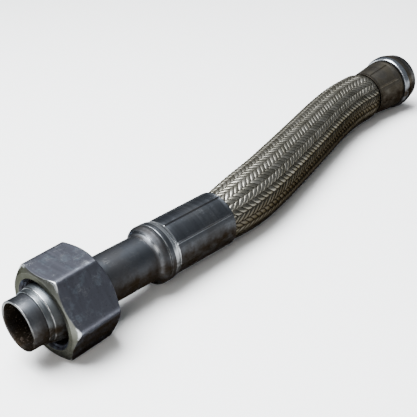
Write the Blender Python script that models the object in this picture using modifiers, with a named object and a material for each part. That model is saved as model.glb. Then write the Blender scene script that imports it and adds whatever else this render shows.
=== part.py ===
"""Compressor flex hose: a braided metal hose with a bite-type standpipe and union nut at one end and a
flange head at the other. Units are metres, +Z is up and +X runs along the hose from the nut to the flange.

The nut lies on one of its flats. The tube sits a little slack in the nut, so it slopes down to the hose,
which lies along the floor. The middle of the whole part's footprint is the origin.
"""

import math

import bmesh
import bpy
import numpy as np
from mathutils import Matrix, Vector

MM = 0.001

# Fits
SEAT_GAP = 0.3 * MM  # between faces that touch on the real part
NUT_SLACK = 0.7 * MM  # radial play of the tube in the nut's back bore
TAIL_FIT = 0.4 * MM  # of a bare tail in the liner's bore, which its barbs bite into

# Standpipe
TUBE_R = 15.0 * MM
TUBE_WALL = 1.9 * MM
LIP_CHAMFER = 0.6 * MM
LIP_TO_COLLAR = 86.5 * MM
COLLAR_LENGTH = 8.1 * MM
COLLAR_SHOULDER = 6.5 * MM  # length of the smooth ramp at the collar's front
COLLAR_STEPS = 7
COLLAR_R = 19.0 * MM
BORE_CONE = 6.0 * MM  # length over which the tube's bore narrows to the tail's

# Hose tails, the same at both ends
TAIL_WALL = 1.9 * MM
BARB_HEIGHT = 0.35 * MM
BARB_PITCH = 7.0 * MM
BARB_BACK = 0.08  # share of a barb's pitch taken by its steep back
TAIL_CHAMFER = 1.2 * MM
NECK_LENGTH = 4.0 * MM  # plain neck that the ferrule's end wall closes on

# Cutting ring
RING_START = 9.0 * MM  # from the lip
RING_NOSE = 3.3 * MM
RING_NOSE_WALL = 0.65 * MM
RING_STEP = 0.5 * MM
RING_CONE = 9.6 * MM
RING_CONE_ANGLE = math.radians(12.0)
RING_BACK = 1.8 * MM

# Union nut
NUT_START = 15.8 * MM  # from the lip
NUT_LENGTH = 32.6 * MM
NUT_ACROSS_FLATS = 52.8 * MM
NUT_FACE_R = 25.4 * MM  # flat ring left inside the front chamfer
NUT_BACK_R = 24.5 * MM
NUT_CHAMFER_ANGLE = math.radians(30.0)
THREAD_R = 21.0 * MM  # of the M42 x 2 thread, whose turns are left out here
THREAD_HEIGHT = 1.1 * MM
THREAD_LEAD = 1.0 * MM  # radial, of the bore's open mouth over the thread
THREAD_DEPTH = 20.0 * MM
NUT_CONE_ANGLE = math.radians(45.0)
NUT_BEARING = 7.4 * MM  # from the nut's back to where the tube bears in it

# Crimped ferrules
FERRULE_GAP_WALL = 3.0 * MM  # end wall that closes on the neck
FERRULE_R = 18.95 * MM
FERRULE_LIP = 6.0 * MM  # length left uncrimped behind the end wall's face
CRIMP_R = 17.75 * MM
CRIMP_STEP = 1.6 * MM  # length of the slope from the lip down to the crimp
CRIMP_WALL = 1.4 * MM
RIDGE_HEIGHT = 0.5 * MM
RIDGE_HALF_ANGLE = math.radians(2.0)
DIES = 8
DIE_FACE_STEPS = 5
CRIMP_TURN = math.radians(14.0)
NEAR_FERRULE_LENGTH = 56.4 * MM
FERRULE_EDGE = 0.6 * MM
LIP_DROOP = 0.25 * MM  # loss of radius along the uncrimped lip
MOUTH_R = 18.5 * MM
MOUTH_WALL = 0.9 * MM
MOUTH_LENGTH = 2.2 * MM
FAR_FERRULE_LENGTH = 28.5 * MM
FAR_FERRULE_R = 20.9 * MM
FAR_CRIMP_END_R = 20.3 * MM
FAR_LIP = 2.4 * MM

# Hose
HOSE_R = 20.0 * MM
HOSE_SPAN = 224.0 * MM  # from one ferrule's mouth to the other's, along the nut's axis
HOSE_SWAY = 37.5 * MM  # how far the hose swings to the side
HOSE_RISE = 2.2 * MM  # gap under the hose at the far mouth
BRAID_RELIEF = 0.7 * MM
BRAID_WALL = 0.9 * MM
LINER_BORE_R = 12.7 * MM
HOSE_END_GAP = 1.2 * MM  # hose end to the ferrule's end wall
NEAR_SWELL = 45.0 * MM  # over which the crimped hose swells to its free size
FAR_SWELL = 10.0 * MM
SWELL_ROWS = 3
BRAID_SMOOTH = math.radians(60)
BRAID_SIDES = 32
BRAID_ROW = 4.4 * MM
LINER_SIDES = 20
CORE_ROW = 17.0 * MM

# Flange head
FLANGE_R = 22.8 * MM  # where the head is widest
FLANGE_BACK_R = 21.3 * MM
FLANGE_FACE_R = 20.3 * MM
FLANGE_THICKNESS = 17.2 * MM
FLANGE_SHOULDER = 4.0 * MM  # length of the head's rounded back
FLANGE_SHOULDER_STEPS = 4
FLANGE_TAPER = 10.0 * MM  # length over which the head narrows to its face
FLANGE_NECK = 0.7 * MM  # length between the ferrule and the head
FLANGE_NECK_R = 18.2 * MM
FLANGE_EDGE = 0.8 * MM
SEAL_SECTION_R = 1.76 * MM
SEAL_RING_R = 15.6 * MM
SEAL_GROOVE_DEPTH = 2.8 * MM
SEAL_SIDES = 8

# How it lies
TUBE_SLOPE = math.radians(2.9)
FAR_TURN = math.radians(-3.0)  # of the far fitting's axis, seen from above
FAR_TILT = math.radians(1.5)  # of the far fitting's axis, over level

# Mesh
TURN_STEPS = 32
CUTTER_STEPS = 48
CUTTER_PROUD = 2.0 * MM  # how far a cutter runs past what it cuts
AXIS_MERGE = 0.01 * MM
FINE_STEPS = 2000
SHARP_ANGLE = math.radians(30)

# The hose's route from the near ferrule's mouth to the far one's, chosen by hand, in shares of its
# span, sway and rise.
ROUTE = [
    (0.125, 0.056, 0.12),
    (0.250, 0.178, 0.04),
    (0.375, 0.350, 0.03),
    (0.500, 0.534, 0.03),
    (0.625, 0.723, 0.05),
    (0.750, 0.900, 0.22),
    (0.875, 1.000, 0.64),
    (1.000, 0.970, 1.00),
]

# Values that follow from the sizes above
NUT_HEIGHT = NUT_ACROSS_FLATS / 2  # of the nut's axis over the floor
PIVOT = NUT_START + NUT_LENGTH - NUT_BEARING  # where the tube bears in the nut, from the lip
TUBE_BORE_R = TUBE_R - TUBE_WALL
TAIL_R = LINER_BORE_R - TAIL_FIT
TAIL_BORE_R = TAIL_R - TAIL_WALL
TAIL_HOLE_R = TAIL_R + SEAT_GAP
NEAR_WALL = LIP_TO_COLLAR + COLLAR_LENGTH + SEAT_GAP  # the near ferrule's end face, from the lip
MOUTH = NEAR_WALL + NEAR_FERRULE_LENGTH
NEAR_HOLD = NEAR_FERRULE_LENGTH - FERRULE_GAP_WALL - HOSE_END_GAP
FAR_HOLD = FAR_FERRULE_LENGTH - FERRULE_GAP_WALL - HOSE_END_GAP
FLANGE_BACK = FAR_FERRULE_LENGTH + SEAT_GAP + FLANGE_NECK  # from the far mouth
FLANGE_FACE = FLANGE_BACK + FLANGE_THICKNESS
CRIMPED_HOSE_R = CRIMP_R - CRIMP_WALL - SEAT_GAP


def clear_scene():
    for obj in list(bpy.data.objects):
        bpy.data.objects.remove(obj)


def material(name, colour, roughness, metallic):
    made = bpy.data.materials.new(name)
    made.use_nodes = True
    shader = made.node_tree.nodes["Principled BSDF"]
    shader.inputs["Base Color"].default_value = (*colour, 1.0)
    shader.inputs["Roughness"].default_value = roughness
    shader.inputs["Metallic"].default_value = metallic
    made.diffuse_color = (*colour, 1.0)
    return made


def add(name, mesh, finish, parent=None):
    """An object of the part with its material."""
    obj = bpy.data.objects.new(name, mesh)
    PART.objects.link(obj)
    obj.parent = parent
    mesh.materials.append(finish)
    return obj


def marker(name, place):
    """An empty that pieces are placed by."""
    empty = bpy.data.objects.new(name, None)
    PART.objects.link(empty)
    empty.location = place
    return empty


def smooth(obj, angle=SHARP_ANGLE):
    obj.data.shade_smooth()
    obj.data.set_sharp_from_angle(angle=angle)
    return obj


def outline_mesh(name, outline, closed):
    """Edges in the XZ plane that join (radius, station) pairs, in a loop if closed."""
    mesh = bpy.data.meshes.new(name)
    points = [(radius, 0.0, station) for radius, station in outline]
    count = len(points)
    edges = [(i, (i + 1) % count) for i in range(count if closed else count - 1)]
    mesh.from_pydata(points, edges, [])
    return mesh


def sweep(obj, steps):
    """Turns the object's outline round its own Z axis with a Screw modifier."""
    screw = obj.modifiers.new("Turn", "SCREW")
    screw.axis = "Z"
    screw.angle = math.tau
    screw.steps = screw.render_steps = steps
    screw.use_merge_vertices = True
    screw.merge_threshold = AXIS_MERGE
    screw.use_smooth_shade = True


def turned(name, outline, finish, parent):
    """A hollow turned piece whose closed outline runs down its outer side and back up its bore."""
    obj = add(name, outline_mesh(name, outline, closed=True), finish, parent)
    sweep(obj, TURN_STEPS)
    return obj


def grid_faces(rows, columns, flip_diagonals=False):
    """Triangles of a grid that closes both ways. With flip_diagonals each cell's diagonal joins the
    vertices whose row and column add up to an even number."""
    row, column = np.meshgrid(np.arange(rows), np.arange(columns), indexing="ij")
    a = row * columns + column
    b = row * columns + (column + 1) % columns
    c = ((row + 1) % rows) * columns + (column + 1) % columns
    d = ((row + 1) % rows) * columns + column
    straight = np.stack([np.stack([a, b, c], -1), np.stack([a, c, d], -1)], 2)
    crossed = np.stack([np.stack([a, b, d], -1), np.stack([b, c, d], -1)], 2)
    even = ((row + column) % 2 == 0)[..., None, None]
    chosen = np.where(even, straight, crossed) if flip_diagonals else straight
    return chosen.reshape(-1, 3)


def grid_mesh(name, points, flip_diagonals=False):
    """A closed ring-shaped body from points[row, column], whose normals are made to face out."""
    rows, columns = points.shape[:2]
    mesh = bpy.data.meshes.new(name)
    faces = grid_faces(rows, columns, flip_diagonals)
    mesh.from_pydata(points.reshape(-1, 3).tolist(), [], faces.tolist())
    work = bmesh.new()
    work.from_mesh(mesh)
    bmesh.ops.recalc_face_normals(work, faces=work.faces)
    work.to_mesh(mesh)
    work.free()
    return mesh


def distances(path):
    """Length along a path up to each of its points."""
    return np.concatenate([[0.0], np.cumsum(np.linalg.norm(np.diff(path, axis=0), axis=1))])


def frames_along(path):
    """Tangent, side and up vectors at each point of a path that is never steep."""
    tangent = np.gradient(path, axis=0)
    tangent /= np.linalg.norm(tangent, axis=1)[:, None]
    side = np.cross([0.0, 0.0, 1.0], tangent)
    side /= np.linalg.norm(side, axis=1)[:, None]
    return tangent, side, np.cross(tangent, side)


def near_point(station):
    """World place of a station on the tube's sloping axis, measured from the lip."""
    along = station - PIVOT
    return np.array(
        [
            PIVOT + along * math.cos(TUBE_SLOPE),
            0.0,
            NUT_HEIGHT - along * math.sin(TUBE_SLOPE),
        ]
    )


def smooth_curve(points, start, end):
    """A fine cubic Hermite curve through the points. Its slope at each is that of the neighbours'
    chord, and at its two ends that of the unit vectors start and end."""
    chord = distances(points)
    slope = np.gradient(points, chord, axis=0)
    slope[0], slope[-1] = start, end
    fine = np.linspace(0.0, chord[-1], FINE_STEPS)
    i = np.clip(np.searchsorted(chord, fine, "right") - 1, 0, len(chord) - 2)
    step = (chord[i + 1] - chord[i])[:, None]
    t = (fine - chord[i])[:, None] / step
    return (
        (2 * t**3 - 3 * t**2 + 1) * points[i]
        + (t**3 - 2 * t**2 + t) * step * slope[i]
        + (3 * t**2 - 2 * t**3) * points[i + 1]
        + (t**3 - t**2) * step * slope[i + 1]
    )


def route_point(place):
    """World place of the hose's middle at one of the route's entries."""
    along, across, lift = place
    start = near_point(MOUTH)[0]
    return start + along * HOSE_SPAN, across * HOSE_SWAY, HOSE_R + lift * HOSE_RISE


def hose_line():
    """The hose's middle line, finely: straight in each ferrule, and the smooth curve of the route
    between them."""
    mouth = near_point(MOUTH)
    free = np.array([mouth] + [route_point(place) for place in ROUTE])
    inward = mouth - near_point(MOUTH - NEAR_HOLD)
    outward = far_direction()
    curve = smooth_curve(free, inward / NEAR_HOLD, outward)
    return np.concatenate([[mouth - inward], curve, [curve[-1] + outward * FAR_HOLD]])


def hose_rows(total, row):
    """Lengths along the hose where it has a ring of points: one at each end, one where each ferrule's
    mouth starts to open, close ones over the short far swell and even ones between."""
    near, far = NEAR_HOLD, total - FAR_HOLD
    swell = np.linspace(0.0, FAR_SWELL, SWELL_ROWS)
    free = far - near - FAR_SWELL
    middle = np.linspace(near, far - FAR_SWELL, round(free / row) + 1)
    starts = [0.0, near - MOUTH_LENGTH]
    ends = [far + MOUTH_LENGTH, total]
    return np.concatenate([starts, middle[:-1], far - swell[::-1], ends])


def points_at(line, rows):
    length = distances(line)
    return np.stack([np.interp(rows, length, line[:, k]) for k in range(3)], 1)


def far_direction():
    """Unit vector of the far fitting's axis."""
    level = math.cos(FAR_TILT)
    return np.array(
        [level * math.cos(FAR_TURN), level * math.sin(FAR_TURN), math.sin(FAR_TILT)]
    )


def hose_radius(rows, crimped, free):
    """Radius along the hose: crimped inside each ferrule, swelling to its free size."""
    near = (rows - NEAR_HOLD + MOUTH_LENGTH) / (NEAR_SWELL + MOUTH_LENGTH)
    far = (rows[-1] - FAR_HOLD - rows + MOUTH_LENGTH) / (FAR_SWELL + MOUTH_LENGTH)
    ramp = np.clip(np.minimum(near, far), 0.0, 1.0)
    return crimped + (free - crimped) * (1 - (1 - ramp) ** 2)


def tube_points(path, radius, sides):
    """points[row, column] of a tube along a path. radius has a value for each row, or for each point."""
    _, side, up = frames_along(path)
    angle = (np.arange(sides) * math.tau / sides)[:, None]
    ring = side[:, None] * np.cos(angle) + up[:, None] * np.sin(angle)
    return path[:, None] + ring * np.reshape(radius, (len(path), -1, 1))


def braid(line, finish):
    """The woven cover. Its outer wall is a lattice of crossing ridges, its inner wall is plain."""
    total = distances(line)[-1]
    rows = hose_rows(total, BRAID_ROW)
    row, column = np.meshgrid(np.arange(len(rows)), np.arange(BRAID_SIDES), indexing="ij")
    free = (rows > NEAR_HOLD) & (rows < total - FAR_HOLD)
    hollow = ((row + column) % 2 == 1) & free[:, None]
    radius = hose_radius(rows, CRIMPED_HOSE_R, HOSE_R)[:, None] - hollow * BRAID_RELIEF
    outside = tube_points(points_at(line, rows), radius, BRAID_SIDES)
    rows = hose_rows(total, CORE_ROW)
    radius = hose_radius(rows, CRIMPED_HOSE_R, HOSE_R - BRAID_RELIEF) - BRAID_WALL
    inside = tube_points(points_at(line, rows), radius, BRAID_SIDES)
    mesh = grid_mesh("braid", np.concatenate([outside, inside[::-1]]), flip_diagonals=True)
    return smooth(add("braid", mesh, finish), BRAID_SMOOTH)


def liner(line, finish):
    """The plain inner hose that both tails go into."""
    rows = hose_rows(distances(line)[-1], CORE_ROW)
    path = points_at(line, rows)
    wall = BRAID_WALL + SEAT_GAP
    radius = hose_radius(rows, CRIMPED_HOSE_R, HOSE_R - BRAID_RELIEF) - wall
    outside = tube_points(path, radius, LINER_SIDES)
    inside = tube_points(path, LINER_BORE_R + 0 * radius, LINER_SIDES)
    mesh = grid_mesh("liner_hose", np.concatenate([outside, inside[::-1]]))
    return smooth(add("liner_hose", mesh, finish))


def crimped_sleeve(name, outline, finish, parent):
    """A sleeve turned from (radius, station, crimped) triples. Where crimped is 1 its dies leave a
    ridge at each of their joints."""
    die = math.tau / DIES
    face = np.linspace(RIDGE_HALF_ANGLE, die - RIDGE_HALF_ANGLE, DIE_FACE_STEPS)
    marks = np.concatenate([[0.0], face])
    angle = (np.arange(DIES)[:, None] * die + marks).ravel() + CRIMP_TURN
    ridge = np.tile(marks == 0.0, DIES) * RIDGE_HEIGHT
    radius, station, crimped = (np.array(values)[:, None] for values in zip(*outline))
    reach = radius + crimped * ridge
    points = np.stack(
        [reach * np.cos(angle), reach * np.sin(angle), station + 0 * angle], -1
    )
    return smooth(add(name, grid_mesh(name, points), finish, parent))


def near_end_axis():
    """A marker on the tube's axis: its +Z runs from the lip to the hose, with the lip at its origin."""
    empty = marker("near_end", near_point(0.0))
    empty.rotation_euler = (0.0, math.pi / 2 + TUBE_SLOPE, 0.0)
    return empty


def far_end_axis():
    """A marker at the far ferrule's mouth: its +Z runs out to the flange."""
    empty = marker("far_end", route_point(ROUTE[-1]))
    empty.rotation_euler = Vector(far_direction()).to_track_quat("Z", "Y").to_euler()
    return empty


def barbs(start, end):
    """(radius, station) pairs down a tail's outer side from start to end: saw-toothed rings."""
    count = max(1, int(abs(end - start) / BARB_PITCH))
    pitch = (end - start) / count
    points = []
    for i in range(count):
        points.append((TAIL_R, start + i * pitch))
        points.append((TAIL_R - BARB_HEIGHT, start + (i + 1 - BARB_BACK) * pitch))
    return points


def standpipe(finish, parent):
    """Tube, collar, neck and barbed tail in one piece. Stations run from the lip at 0."""
    front = LIP_TO_COLLAR
    back = front + COLLAR_LENGTH
    neck_end = back + NECK_LENGTH
    tail_end = MOUTH - MOUTH_LENGTH
    outer = [(TUBE_R - LIP_CHAMFER, 0.0), (TUBE_R, LIP_CHAMFER), (TUBE_R, front)]
    for t in np.linspace(0.0, 1.0, COLLAR_STEPS)[1:]:
        rise = (COLLAR_R - TUBE_R) * (3 * t**2 - 2 * t**3)
        outer.append((TUBE_R + rise, front + COLLAR_SHOULDER * t))
    outer += [(COLLAR_R, back - LIP_CHAMFER), (COLLAR_R - LIP_CHAMFER, back)]
    outer += [(TAIL_R, back), (TAIL_R, neck_end)]
    outer += barbs(neck_end + SEAT_GAP, tail_end - TAIL_CHAMFER)
    outer += [(TAIL_R - TAIL_CHAMFER / 2, tail_end)]
    inner = [(TAIL_BORE_R, tail_end), (TAIL_BORE_R, front + BORE_CONE), (TUBE_BORE_R, front)]
    inner += [(TUBE_BORE_R, LIP_CHAMFER), (TUBE_BORE_R + LIP_CHAMFER / 2, 0.0)]
    return turned("standpipe", list(reversed(outer + inner)), finish, parent)


def cutting_ring(finish, parent):
    """The bite ring: a short nose, a step and a long cone, with a bevelled back."""
    inner = TUBE_R + SEAT_GAP
    nose = RING_START + RING_NOSE
    nose_r = inner + RING_NOSE_WALL
    cone_r = nose_r + RING_STEP
    cone_end = nose + RING_STEP / 2 + RING_CONE
    back_r = cone_r + RING_CONE * math.tan(RING_CONE_ANGLE)
    outline = [
        (inner, RING_START),
        (nose_r - RING_STEP / 2, RING_START),
        (nose_r, RING_START + RING_STEP / 2),
        (nose_r, nose),
        (cone_r, nose + RING_STEP / 2),
        (back_r, cone_end),
        (back_r - RING_BACK, cone_end + RING_BACK),
        (inner, cone_end + RING_BACK),
    ]
    return turned("cutting_ring", list(reversed(outline)), finish, parent)


def union_nut(finish):
    """Hexagon with both ends chamfered and a stepped bore, on its own level axis."""
    axis = marker("nut_axis", (NUT_START, 0.0, NUT_HEIGHT))
    axis.rotation_euler = (0.0, math.pi / 2, 0.0)

    corner_r = NUT_HEIGHT / math.cos(math.pi / 6)
    mesh = bpy.data.meshes.new("union_nut")
    work = bmesh.new()
    middle = Matrix.Translation((0, 0, NUT_LENGTH / 2))
    bmesh.ops.create_cone(
        work,
        cap_ends=True,
        segments=6,
        radius1=corner_r,
        radius2=corner_r,
        depth=NUT_LENGTH,
        matrix=middle,
    )
    work.to_mesh(mesh)
    work.free()
    nut = add("union_nut", mesh, finish, axis)

    slope = math.tan(NUT_CHAMFER_ANGLE)
    over = corner_r + CUTTER_PROUD
    barrel = [
        (NUT_BACK_R, NUT_LENGTH),
        (over, NUT_LENGTH - (over - NUT_BACK_R) * slope),
        (over, (over - NUT_FACE_R) * slope),
        (NUT_FACE_R, 0.0),
    ]
    keep = cutter("nut_barrel", barrel, axis)
    back_bore = TUBE_R + NUT_SLACK
    crest_r = THREAD_R - THREAD_HEIGHT
    mouth_r = THREAD_R + THREAD_LEAD
    cone_end = THREAD_DEPTH + (crest_r - back_bore) / math.tan(NUT_CONE_ANGLE)
    bore = [
        (back_bore, NUT_LENGTH + CUTTER_PROUD),
        (back_bore, cone_end),
        (crest_r, THREAD_DEPTH),
        (crest_r, mouth_r - crest_r),
        (mouth_r, 0.0),
        (mouth_r, -CUTTER_PROUD),
    ]
    cut = cutter("nut_bore", bore, axis)
    for name, other, operation in (("Barrel", keep, "INTERSECT"), ("Bore", cut, "DIFFERENCE")):
        step = nut.modifiers.new(name, "BOOLEAN")
        step.object = other
        step.operation = operation
        step.solver = "EXACT"
    return smooth(nut)


def cutter(name, outline, parent):
    """A solid turned cutter: the outline is closed on the axis at both ends."""
    ends = [(0.0, outline[0][1])] + outline + [(0.0, outline[-1][1])]
    obj = bpy.data.objects.new(name, outline_mesh(name, ends, closed=False))
    CUTTERS.objects.link(obj)
    obj.parent = parent
    sweep(obj, CUTTER_STEPS)
    obj.hide_render = True
    obj.display_type = "WIRE"
    return obj


def near_ferrule(finish, parent):
    """Sleeve from its end wall, behind the collar, to its mouth on the hose."""
    wall = NEAR_WALL
    crimp_start = wall + FERRULE_LIP + CRIMP_STEP
    outline = [
        (TAIL_HOLE_R, wall, 0),
        (FERRULE_R - FERRULE_EDGE, wall, 0),
        (FERRULE_R, wall + FERRULE_EDGE, 0),
        (FERRULE_R - LIP_DROOP, wall + FERRULE_LIP, 0),
        (CRIMP_R, crimp_start, 1),
        (CRIMP_R, MOUTH - MOUTH_LENGTH, 1),
        (MOUTH_R, MOUTH, 0),
        (MOUTH_R - MOUTH_WALL, MOUTH, 0),
        (CRIMP_R - CRIMP_WALL, MOUTH - MOUTH_LENGTH, 0),
        (CRIMP_R - CRIMP_WALL, wall + FERRULE_GAP_WALL, 0),
        (TAIL_HOLE_R, wall + FERRULE_GAP_WALL, 0),
    ]
    return crimped_sleeve("near_ferrule", outline, finish, parent)


def far_ferrule(finish, parent):
    """Sleeve from its mouth on the hose, at station 0, widening to its end wall."""
    wall = FAR_FERRULE_LENGTH
    outline = [
        (TAIL_HOLE_R, wall, 0),
        (FAR_FERRULE_R - 2 * FERRULE_EDGE, wall, 0),
        (FAR_FERRULE_R - FERRULE_EDGE / 2, wall - FERRULE_EDGE, 0),
        (FAR_FERRULE_R, wall - 2 * FERRULE_EDGE, 0),
        (FAR_FERRULE_R - LIP_DROOP, wall - FAR_LIP, 0),
        (FAR_CRIMP_END_R, wall - FAR_LIP - CRIMP_STEP, 1),
        (CRIMP_R + FERRULE_EDGE / 2, MOUTH_LENGTH, 1),
        (MOUTH_R, 0.0, 0),
        (MOUTH_R - MOUTH_WALL, 0.0, 0),
        (CRIMP_R - CRIMP_WALL, MOUTH_LENGTH, 0),
        (CRIMP_R - CRIMP_WALL, wall - FERRULE_GAP_WALL, 0),
        (TAIL_HOLE_R, wall - FERRULE_GAP_WALL, 0),
    ]
    return crimped_sleeve("far_ferrule", outline, finish, parent)


def flange_stem(finish, parent):
    """Barbed tail, short neck and a head with a rounded back, a tapered front and a seal groove in its
    face."""
    back = FAR_FERRULE_LENGTH + SEAT_GAP
    head, face = FLANGE_BACK, FLANGE_FACE
    groove_in = SEAL_RING_R - SEAL_SECTION_R - SEAT_GAP
    groove_out = SEAL_RING_R + SEAL_SECTION_R + SEAT_GAP
    floor = face - SEAL_GROOVE_DEPTH
    tail_start = MOUTH_LENGTH
    neck_start = FAR_FERRULE_LENGTH - FERRULE_GAP_WALL - SEAT_GAP
    outer = [
        (TAIL_BORE_R + LIP_CHAMFER, face),
        (groove_in, face),
        (groove_in, floor),
        (groove_out, floor),
        (groove_out, face),
        (FLANGE_FACE_R - FLANGE_EDGE, face),
        (FLANGE_FACE_R, face - FLANGE_EDGE),
        (FLANGE_R, face - FLANGE_TAPER),
    ]
    for turn in np.linspace(math.pi / 2, 0.0, FLANGE_SHOULDER_STEPS):
        rise = (FLANGE_R - FLANGE_BACK_R) * math.sin(turn)
        outer.append((FLANGE_BACK_R + rise, head + FLANGE_SHOULDER * (1 - math.cos(turn))))
    outer += [(FLANGE_NECK_R, head), (FLANGE_NECK_R, back), (TAIL_R, back)]
    outer += barbs(neck_start, tail_start + TAIL_CHAMFER)
    outer += [(TAIL_R - TAIL_CHAMFER / 2, tail_start)]
    inner = [(TAIL_BORE_R, tail_start), (TAIL_BORE_R, face - LIP_CHAMFER)]
    return turned("flange_stem", outer + inner, finish, parent)


def flange_seal(finish, parent):
    """The O-ring in the flange's groove, standing a little proud of the face."""
    middle = FLANGE_FACE - SEAL_GROOVE_DEPTH + SEAT_GAP + SEAL_SECTION_R
    bpy.ops.mesh.primitive_torus_add(
        major_segments=TURN_STEPS,
        minor_segments=SEAL_SIDES,
        major_radius=SEAL_RING_R,
        minor_radius=SEAL_SECTION_R,
        location=(0, 0, 0),
    )
    obj = bpy.context.object
    obj.name = obj.data.name = "flange_o_ring"
    for holder in list(obj.users_collection):
        holder.objects.unlink(obj)
    PART.objects.link(obj)
    obj.data.materials.append(finish)
    obj.parent = parent
    obj.location = (0, 0, middle)
    return smooth(obj)


def centre_footprint(roots):
    """Moves everything so that the middle of the footprint is the origin."""
    bpy.context.view_layer.update()
    graph = bpy.context.evaluated_depsgraph_get()
    corners = []
    for obj in PART.objects:
        if obj.type != "MESH":
            continue
        mesh = obj.evaluated_get(graph).to_mesh()
        points = np.empty(len(mesh.vertices) * 3, np.float32)
        mesh.vertices.foreach_get("co", points)
        world = np.array(obj.matrix_world)
        placed = points.reshape(-1, 3) @ world[:3, :3].T + world[:3, 3]
        corners += [placed.min(0), placed.max(0)]
        obj.evaluated_get(graph).to_mesh_clear()
    middle = (np.min(corners, 0) + np.max(corners, 0)) / 2
    for obj in roots:
        obj.location.x -= middle[0]
        obj.location.y -= middle[1]


clear_scene()
PART = bpy.data.collections.new("compressor_flex_hose")
CUTTERS = bpy.data.collections.new("cutters")
for group in (PART, CUTTERS):
    bpy.context.scene.collection.children.link(group)

zinc = material("zinc_plate", (0.40, 0.43, 0.47), 0.38, 0.9)
bright = material("bright_steel", (0.55, 0.56, 0.55), 0.25, 1.0)
crimp = material("crimped_steel", (0.36, 0.37, 0.37), 0.42, 0.9)
wire = material("braid_wire", (0.52, 0.50, 0.44), 0.35, 0.9)
rubber = material("black_rubber", (0.02, 0.02, 0.02), 0.6, 0.0)

near_end = near_end_axis()
far_end = far_end_axis()
standpipe(zinc, near_end)
cutting_ring(zinc, near_end)
nut = union_nut(zinc)
near_ferrule(crimp, near_end)
middle_line = hose_line()
hose_cover = braid(middle_line, wire)
hose_liner = liner(middle_line, rubber)
far_ferrule(crimp, far_end)
flange_stem(bright, far_end)
flange_seal(rubber, far_end)
centre_footprint([near_end, far_end, nut.parent, hose_cover, hose_liner])
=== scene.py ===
"""The compressor flex hose with its finish: turned and plated steel at the near end, a union nut with
its thread, two crimped ferrules, a braid of interlaced wire bands and a flange head with its O-ring.

Every shape is a grid worked out with numpy. Lengths are in metres, in the CAD frame: +X runs from the
nut to the flange and +Z is up. The sizes and the hose's route are those of the part's own source.
"""

import math

import bpy
import numpy as np
from mathutils import Matrix, Vector


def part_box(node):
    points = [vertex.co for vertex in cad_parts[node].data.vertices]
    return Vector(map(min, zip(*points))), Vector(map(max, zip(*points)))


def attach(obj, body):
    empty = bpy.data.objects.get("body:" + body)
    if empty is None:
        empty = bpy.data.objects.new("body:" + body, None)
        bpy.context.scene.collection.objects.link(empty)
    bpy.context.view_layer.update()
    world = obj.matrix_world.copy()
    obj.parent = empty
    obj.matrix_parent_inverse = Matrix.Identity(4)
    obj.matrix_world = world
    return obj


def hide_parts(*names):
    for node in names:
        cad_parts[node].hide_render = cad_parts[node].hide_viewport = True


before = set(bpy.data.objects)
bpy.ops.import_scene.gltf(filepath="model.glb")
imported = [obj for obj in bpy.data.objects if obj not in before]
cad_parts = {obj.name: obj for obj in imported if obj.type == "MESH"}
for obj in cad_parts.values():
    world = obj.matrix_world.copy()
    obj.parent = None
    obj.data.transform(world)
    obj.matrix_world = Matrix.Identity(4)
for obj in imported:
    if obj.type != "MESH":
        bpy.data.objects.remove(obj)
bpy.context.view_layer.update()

MM = 0.001

# Sizes of the near fitting, stations from the tube's lip
TUBE_R = 15.0 * MM
TUBE_BORE_R = 13.1 * MM
COLLAR_START = 86.5 * MM
COLLAR_LENGTH = 8.1 * MM
COLLAR_SHOULDER = 6.5 * MM
COLLAR_R = 19.0 * MM
BORE_CONE = 6.0 * MM
TAIL_R = 12.3 * MM
TAIL_BORE_R = 10.4 * MM
BARB_DEPTH = 0.35 * MM
NECK_LENGTH = 4.0 * MM
SEAT_GAP = 0.3 * MM
TUBE_SLOPE = math.radians(2.9)

RING_START = 9.0 * MM
RING_NOSE = 3.3 * MM
RING_NOSE_R = 15.95 * MM
RING_STEP = 0.5 * MM
RING_CONE = 9.6 * MM
RING_CONE_ANGLE = math.radians(12.0)
RING_BACK = 1.8 * MM

# Union nut, stations from its front face
NUT_START = 15.8 * MM
NUT_LENGTH = 32.6 * MM
NUT_HALF_FLATS = 26.4 * MM
NUT_FACE_R = 25.4 * MM
NUT_BACK_R = 24.5 * MM
NUT_CHAMFER = math.radians(30.0)
NUT_PIVOT = NUT_START + NUT_LENGTH - 7.4 * MM
NUT_BACK_BORE_R = TUBE_R + 0.7 * MM
THREAD_CREST_R = 19.9 * MM
THREAD_ROOT_R = 21.05 * MM
THREAD_MOUTH_R = 22.0 * MM
THREAD_PITCH = 2.0 * MM
THREAD_DEPTH = 20.0 * MM
CHAMFER_REACH = 6.5 * MM  # stretch at each end of the nut that has fine rows
NUT_SHARPNESS = 34.0  # power that rounds the hexagon's corners
NUT_BLEND = 0.09 * MM  # softness of the line where chamfer and flat meet
FACE_RIM = 0.4 * MM

# Ferrules
FERRULE_WALL = 3.0 * MM
NEAR_WALL = COLLAR_START + COLLAR_LENGTH + SEAT_GAP
NEAR_FERRULE_LENGTH = 56.4 * MM
MOUTH = NEAR_WALL + NEAR_FERRULE_LENGTH
FERRULE_R = 18.95 * MM
FERRULE_LIP = 6.0 * MM
CRIMP_R = 17.75 * MM
CRIMP_SLOPE = 1.6 * MM
CRIMP_WALL = 1.4 * MM
DIES = 8
DIE = math.tau / DIES
FIN_HEIGHT = 0.5 * MM
FIN_WIDTH = 0.42 * MM
FIN_FADE = 1.2 * MM
DIE_FLAT = 0.10 * MM  # by how much the middle of a die's face is pressed flatter
CRIMP_TURN = math.radians(14.0)
MOUTH_R = 18.5 * MM
MOUTH_WALL = 0.9 * MM
MOUTH_LENGTH = 2.2 * MM
NEAR_SWELL_OUT = 0.35 * MM  # growth of the near ferrule's radius from its crimp to its mouth
FAR_FERRULE_LENGTH = 28.5 * MM
FAR_FERRULE_R = 20.9 * MM
FAR_CRIMP_END_R = 20.3 * MM
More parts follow.
